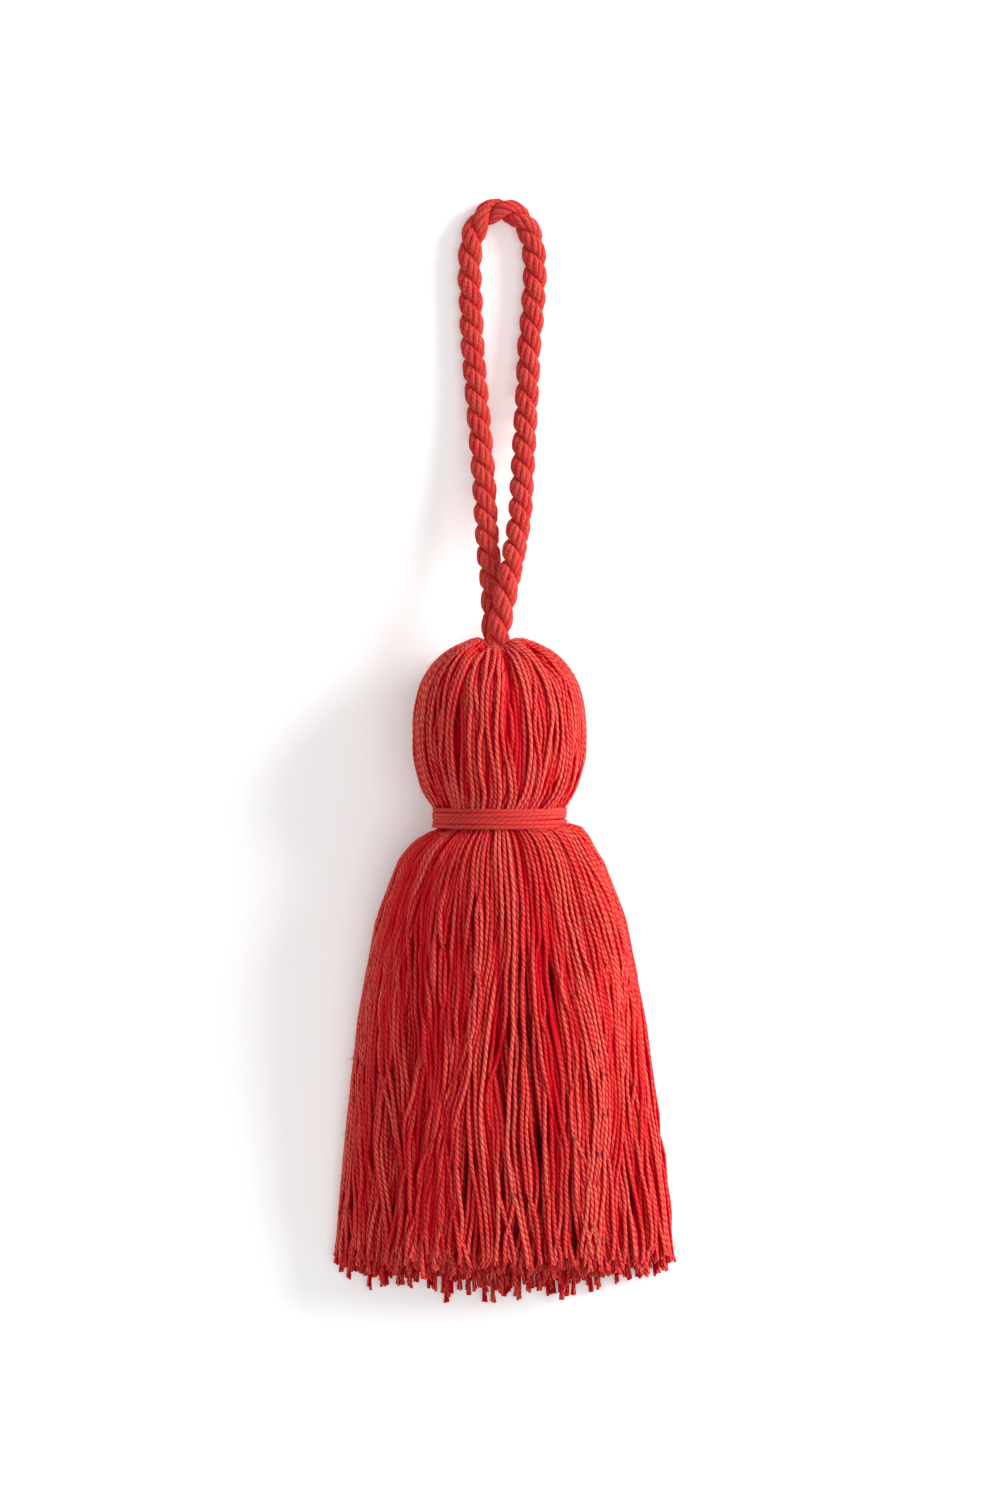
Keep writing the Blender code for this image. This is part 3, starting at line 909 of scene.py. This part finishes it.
def band_guides():
    """The wound yarn as one guide. It wanders along the neck and in and out as it goes round."""
    rng = np.random.default_rng(8)
    turn = np.arange(0, TAU * BAND_TURNS, BAND_STEP)
    spread = BAND_HALF_WIDTH - BAND_YARN_RADIUS
    # Each turn keeps its lane in front and moves over to the next one underneath, at the back.
    lane, part = np.divmod(turn / TAU, 1.0)
    over = np.clip((part - 0.75) / 0.25, 0, 1)
    lane = lane + 0.15 * part + 0.85 * over**2 * (3 - 2 * over)
    own = rng.uniform(0, TAU, 4)
    along = spread - 2 * spread * lane / (BAND_TURNS - 1)
    along = along + 0.16 * np.sin(turn * 0.83 + own[0]) + 0.1 * np.sin(turn * 2.3 + own[1])
    along = np.clip(along, -spread, spread)
    outermost = BAND_RADIUS - BAND_YARN_RADIUS
    radius = outermost - BAND_WANDER + BAND_WANDER * np.sin(turn * 0.61 + own[2])
    angle = turn - 0.5 * math.pi
    # In front the turns sag a little.
    along = along - BAND_SAG * np.clip(np.sin(angle), 0, 1) ** 2
    x = radius * np.cos(angle)
    z = AXIS_Z + radius * np.sin(angle)
    out = np.stack([np.cos(angle), 0 * turn, np.sin(angle)], axis=1)
    points = np.stack([x, along, z], axis=1)
    return [yarn_guide(points, BAND_YARN_RADIUS, start=0.0, depth=0.0, out=out)]


band = spin("wound_band", band_guides(), band_red, sides=8, seed=4)
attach(band, "root")
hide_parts("neck_band")

# %% [markdown]
# ## The skirt
#
# Below the neck the yarns leave a round bundle and settle into a low mound, flat underneath where
# it lies. A yarn keeps its place in the bundle: rings of yarns in the neck become nested layers of
# the mound. Further down they sway, gather in loose locks and cross, and the push-apart pass
# keeps them from sharing space. A hair or cloth simulation could do it too, but it would take
# longer and not keep to the outline.

# %% Skirt sections
SKIRT_SECTIONS = (
    # Millimetres down from the band, out to the left and the right, up to the underside and the
    # top, and how round the section is, from 1 down to 0 for a mound.
    (0.0, 12.0, 12.0, 4.1, 28.1, 1.0),
    (0.9, 14.4, 14.8, 3.3, 29.4, 0.95),
    (1.7, 16.2, 16.8, 2.6, 30.6, 0.9),
    (3.4, 18.0, 18.5, 1.6, 31.4, 0.75),
    (6.5, 20.4, 20.9, 0.3, 32.4, 0.55),
    (18.0, 24.9, 25.5, 0.0, 32.8, 0.2),
    (38.0, 28.6, 29.5, 0.0, 30.2, 0.0),
    (64.0, 31.4, 33.6, 0.0, 25.6, 0.0),
    (98.0, 34.4, 36.8, 0.0, 18.4, 0.0),
)
SKIRT_STATIONS = 46
SKIRT_LONGEST = 97.0
MOUND_POWER = 2.5

table = np.array(SKIRT_SECTIONS)
# Stations crowd together near the neck, where the yarns bend most.
share = np.linspace(0, 1, SKIRT_STATIONS)
skirt_drop = SKIRT_LONGEST * (0.45 * share + 0.55 * share**2)
skirt_left, skirt_right, skirt_under, skirt_top, skirt_round = (
    np.interp(skirt_drop, table[:, 0], table[:, k]) for k in range(1, 6)
)
skirt_middle = (skirt_top + skirt_under) / 2
skirt_half = (skirt_top - skirt_under) / 2


def half_width(across):
    """How far the skirt reaches on the side where a place lies, at every station."""
    return np.where(across < 0, skirt_left, skirt_right)


def chord_of(u):
    """Height of a round section at a share u of the way to its side, with a bit left at the end."""
    return np.sqrt(np.maximum(1 - u**2, 0.02))


def mound_top(u):
    """Height of the mound's face at every station, at a share u of the way to its side."""
    mound = 2 * skirt_half * (1 - np.minimum(u, 1) ** MOUND_POWER) ** 0.5 + skirt_under
    rounded = skirt_middle + skirt_half * chord_of(u)
    return mound * (1 - skirt_round) + rounded * skirt_round


print("skirt:", SKIRT_STATIONS, "stations,", skirt_top.max().round(1), "mm high")


# %% Places in the bundle
RINGS = 11
RING_SPACING = 0.54
NECK_RADIUS = 12.0
skirt_rng = np.random.default_rng(5)


def bundle_places():
    """Where each yarn lies in the round bundle at the neck, from -1 to 1 both ways."""
    places = []
    for ring in range(RINGS):
        radius = (ring + 0.55) / (RINGS - 0.1)
        count = round(TAU * radius * NECK_RADIUS / RING_SPACING)
        for i in range(count):
            angle = TAU * (i + 0.5 * (ring % 2)) / count
            # A few more yarns above and below than at the sides, where the mound spreads out.
            angle = angle - 0.22 * math.sin(2 * angle)
            places.append((radius * math.cos(angle), radius * math.sin(angle)))
    places = np.array(places)
    return np.clip(places + skirt_rng.normal(0, 0.02, places.shape), -0.985, 0.985)


def in_section(u, v):
    """Places of the bundle in every section: (yarns, stations, 2) of x and z in millimetres."""
    u, v = u[:, None], v[:, None]
    chord = chord_of(u)
    lift = np.clip((v / chord + 1) / 2, 0, 1)
    # Between the neck and the cut ends the yarns crowd towards the mound's top and underside.
    crowd = 0.4 * np.clip(skirt_drop / 8, 0, 1) * np.clip((94 - skirt_drop) / 16, 0, 1)
    lift = np.where(lift > 0.5, 1 - (1 - lift) * (1 - crowd), lift * (1 - crowd))
    round_low = skirt_middle - skirt_half * chord
    mound = (skirt_top - skirt_under) * (1 - np.abs(u) ** MOUND_POWER) ** 0.5
    low = skirt_under * (1 - skirt_round) + round_low * skirt_round
    height = mound * (1 - skirt_round) + 2 * skirt_half * chord * skirt_round
    return np.stack([u * half_width(u), low + lift * height], axis=-1)


bundle = bundle_places()
SKIRT_YARNS = len(bundle)
print("bundle:", SKIRT_YARNS, "yarns in", RINGS, "rings")


# %% Sway and locks of the skirt
SKIRT_LOCKS = 170
SKIRT_LEAN = 3.4


def skirt_places():
    """Where each yarn is drawn, before the yarns push each other apart."""
    places = in_section(bundle[:, 0], bundle[:, 1])
    straight = places[..., 0].copy()
    loose = np.clip((skirt_drop - 6) / 60, 0, 1) ** 0.9

    def edge(centre):
        """Locks at the sides sway least, so the outline stays."""
        to_side = np.abs(centre[:, 0]) / half_width(centre[:, 0])
        return 1 - 0.85 * np.clip(to_side, 0, 1) ** 3

    # Neighbours sway together, locks a little on their own, and a few yarns cross the others.
    hang = bundle[:, :1] * 2.6 + 0.9 * np.sin(skirt_drop / 31.0)
    places[..., 0] += 2.3 * np.sin(2.4 * hang + skirt_drop / 17.0) * loose
    places = gather(
        skirt_rng, places, skirt_drop, SKIRT_LOCKS, loose,
        lean=SKIRT_LEAN, pinch=0.5, flat=3.0, edge=edge,
    )
    restless = 1.0 + 3.0 * (skirt_rng.uniform(0, 1, (SKIRT_YARNS, 1)) > 0.93)
    places[..., 0] += sway(skirt_rng, SKIRT_YARNS, skirt_drop, 0.9, 25, 80) * loose * restless
    # The lower yarns hang straighter and cover what the upper ones leave open.
    free = np.clip(0.65 + 2 * bundle[:, 1:], 0.25, 1)
    places[..., 0] = straight + free * (places[..., 0] - straight)
    places[..., 1] += sway(skirt_rng, SKIRT_YARNS, skirt_drop, 1.2, 30, 90) * loose * free
    return places


skirt_middles, skirt_strengths, skirt_widths = draw_partings(
    skirt_rng, 52, (-0.97, 0.97), skirt_drop, shortest=25, longest=70
)
skirt_middles = skirt_middles * half_width(skirt_middles)
skirt_middles = skirt_middles + sway(skirt_rng, len(skirt_middles), skirt_drop, 1.5, 50, 120)
skirt_partings = (skirt_middles, skirt_strengths, skirt_widths)
drawn = skirt_places()
print("drawn:", drawn.shape, "yarns, stations and coordinates")


# %% Partings and settling
SKIRT_PARTING = 1.5


def keep_in_skirt(places):
    """Inside the mound and out of its partings, with the first station held by the band."""
    places[:, 0] = skirt_start[:, 0]
    places[..., 0] = np.clip(places[..., 0], -skirt_left + YARN_RADIUS, skirt_right - YARN_RADIUS)
    ceiling = mound_top(np.abs(places[..., 0]) / half_width(places[..., 0]))
    ceiling = ceiling - SKIRT_PARTING * parted(places[..., 0], *skirt_partings)
    places[..., 1] = np.clip(places[..., 1], YARN_RADIUS, ceiling - YARN_RADIUS)
    return places


skirt_start = drawn.astype(np.float32)
skirt_width = 2 * YARN_RADIUS * np.clip(0.72 + skirt_drop / 25, 0.72, 0.98)
settled = push_apart(drawn, skirt_width, 14, keep_in_skirt)
# Spun cotton keeps a slight crimp of its own.
crimp = 0.2 * np.clip(skirt_drop / 15, 0, 1)
settled[..., 0] += sway(skirt_rng, SKIRT_YARNS, skirt_drop, 1.0, 7, 18) * crimp
settled = keep_in_skirt(settled)
# Painted shade: yarns with others over and under them, and those down in a parting, are painted
# darker crimson.
skirt_depth = buried(settled, 0.8 * YARN_RADIUS, 0.8 * YARN_RADIUS)
skirt_depth = np.maximum(skirt_depth, 0.8 * parted(settled[..., 0], *skirt_partings))
# At its sides the mound is steep, and yarns that have others above them still lie in the light.
to_side = np.abs(settled[..., 0]) / half_width(settled[..., 0])
skirt_depth = skirt_depth * np.clip((0.98 - to_side) / 0.15, 0.2, 1)
print("settled: mean depth", skirt_depth.mean().round(2), "from 0 to 1")


# %% Lengths and the way outwards
BAND_EDGE = -2.3
NEAR_END = -6
END_HALF_WIDTH = 35
TOP_LENGTH = 85.8
UNDER_LONGER = 8.8
UNEVEN_CUT = 1.1


def yarn_length(x, z, station_top):
    """How far down a yarn reaches: the lower layers stick out further near the middle."""
    deep = 1 - np.clip(z / station_top, 0, 1)
    middle = 1 - 0.6 * (x / END_HALF_WIDTH) ** 2 - 0.15 * x / END_HALF_WIDTH
    longer = UNDER_LONGER * deep * middle * skirt_rng.uniform(0.25, 1)
    on_top = TOP_LENGTH - 2.4 * (x / END_HALF_WIDTH) ** 2 + 1.1 * x / END_HALF_WIDTH
    return on_top + longer + skirt_rng.normal(0, UNEVEN_CUT)


def skirt_outward(points):
    """The way out of the mound: up above its middle, down below it, and sideways at its sides."""
    drop = BAND_EDGE - points[:, 1]
    middle = np.interp(drop, skirt_drop, skirt_under + 0.12 * (skirt_top - skirt_under))
    half = np.interp(drop, skirt_drop, 0.88 * (skirt_top - skirt_under))
    side = np.interp(drop, skirt_drop, (skirt_left + skirt_right) / 2)
    above = points[:, 2] - middle
    rise = above / half**2 + 0.012 * np.clip(above / 2, 0, 1)
    out = np.stack([0.65 * points[:, 0] / side**2, 0 * drop, rise], axis=1)
    return out / np.maximum(np.linalg.norm(out, axis=1), 1e-6)[:, None]


print("cut at", TOP_LENGTH, "mm on top, and up to", UNDER_LONGER, "mm further down below")


# %% Cut to length and spin
SKIRT_START = 1.6
RIGHT_SWELL = 2.2
SWELL_DROP = 1.8
SWELL_REACH = 2.2
SHOULDER_WIDTH = skirt_right[8]
SKIRT_PIECES = 3


def skirt_guide(places, depth):
    """One yarn, from under the band to its cut end."""
    length = min(yarn_length(*places[NEAR_END], skirt_top[NEAR_END]), SKIRT_LONGEST)
    drops = np.append(skirt_drop[skirt_drop < length - 0.5], length)
    x_at = np.interp(drops, skirt_drop, places[:, 0])
    z_at = np.interp(drops, skirt_drop, places[:, 1])
    # On the right the yarns well up beside the band before they fall.
    swell = np.clip(x_at / SHOULDER_WIDTH - 0.2, 0, 0.5) * 2
    swell = swell * np.exp(-((drops - SWELL_DROP) / SWELL_REACH) ** 2)
    points = np.stack([x_at, BAND_EDGE - drops + RIGHT_SWELL * swell, z_at], axis=1)
    points = np.concatenate([[(x_at[0], SKIRT_START, z_at[0])], points])
    drops = np.append(0, drops)
    # The painted shade fades towards the ends, which lie open to the light.
    deep = np.interp(drops, skirt_drop, depth) * np.clip((length - drops) / 6, 0.2, 1)
    # The band squeezes the yarns under it.
    radius = YARN_RADIUS * np.clip(0.82 + drops / 40, 0.82, 1)
    start = skirt_rng.uniform(0, LONGEST_START)
    return yarn_guide(points, radius, start, deep, skirt_outward(points))


skirt_lines = [skirt_guide(places, depth) for places, depth in zip(settled, skirt_depth)]
lowest_first = np.argsort(settled[:, NEAR_END, 1])
for part, chosen in enumerate(np.array_split(lowest_first, SKIRT_PIECES)):
    lines = [skirt_lines[i] for i in chosen]
    layer = spin(f"skirt_layer_{part + 1}", lines, skein_red, sides=5, seed=10 + part)
    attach(layer, "root")
    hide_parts("yarn_skein")

# %% [markdown]
# ## Frayed ends and fuzz
#
# Where a yarn is cut, its plies come apart: each cut end gets three thin strands that carry on the
# way it was going and splay. Cotton also sheds short fibres, which stand out a little from every
# yarn and take the hard edge off it. Both are guides again, for the same tree to spin.

# %% Frayed ends
PLY_STRAND_RADIUS = 0.29
FRAYED_SEED = 31


def frayed_guides(lines):
    """Three strands for each yarn, which start inside its end."""
    rng = np.random.default_rng(FRAYED_SEED)
    share = np.linspace(0, 1, 5)[:, None]
    guides = []
    for points, _radii, _run, _depth, outward in lines:
        end = from_neck(points[-1])
        ahead = end - from_neck(points[-2])
        ahead /= np.linalg.norm(ahead)
        side = np.cross(ahead, (0.0, 0.0, 1.0))
        side /= np.linalg.norm(side)
        rise = np.cross(side, ahead)
        turn = rng.uniform(0, TAU)
        # Painted light: the cut is painted brighter on its sides that face the way the yarn was
        # going and up, as if lit from above.
        facing = outward[-1] * 0.5 + ahead + np.array((0.0, 0.0, 0.7))
        for strand in range(PLIES):
            angle = turn + TAU * strand / PLIES + rng.uniform(-0.4, 0.4)
            out = side * math.cos(angle) + rise * math.sin(angle)
            length = rng.uniform(0.7, 1.5)
            splay = rng.uniform(0.0, 0.22)
            start = end - ahead * 0.5 + out * 0.24
            strand_line = start + ahead * length * share + out * splay * length * share**1.6
            strand_line[:, 2] = np.maximum(strand_line[:, 2], PLY_STRAND_RADIUS)
            guides.append(yarn_guide(strand_line, PLY_STRAND_RADIUS, 0.0, 0.0, facing))
    return guides


frayed = spin("frayed_ends", frayed_guides(skirt_lines), skein_red, sides=4, seed=20)
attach(frayed, "root")
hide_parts("yarn_skein")

# %% Fuzz
FUZZ_FIBRES = 7000
FUZZ_RADIUS = 0.02
MOST_HIDDEN = 0.4


def fuzz_guides(lines, count, rng):
    """Short curved fibres that leave the yarns on every side, where these lie exposed."""
    share = np.linspace(0, 1, 4)[:, None]
    guides = []
    while len(guides) < count:
        points, radii, _run, depth, outward = lines[rng.integers(len(lines))]
        k = rng.integers(2, len(points) - 1)
        if depth[k] > MOST_HIDDEN:
            continue
        place = from_neck(points[k])
        ahead = points[k + 1] - points[k]
        ahead = ahead / np.linalg.norm(ahead)
        out = rng.normal(0, 1, 3)
        out -= ahead * out.dot(ahead)
        out /= np.linalg.norm(out)
        length = rng.uniform(1.0, 2.6)
        lift = rng.uniform(0.05, 0.3) * length
        curl = rng.normal(0, 0.25, 3) * length
        fibre = place + out * (radii[k] / MM * 0.9) + ahead * length * share
        fibre = fibre + out * lift * share**1.5 + curl * share**2
        if fibre[:, 2].min() < FUZZ_RADIUS:
            continue
        guides.append(yarn_guide(fibre, FUZZ_RADIUS, 0.0, 0.0, outward[k]))
    return guides


fuzz_rng = np.random.default_rng(41)
fuzz_red = plain_material("fuzz_cotton", (0.72, 0.20, 0.15), 0.9)
fuzz_lines = fuzz_guides(head_guides + skirt_lines, FUZZ_FIBRES, fuzz_rng)
fuzz = spin("cotton_fuzz", fuzz_lines, fuzz_red, sides=3, seed=21)
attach(fuzz, "root")
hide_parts("yarn_skein")
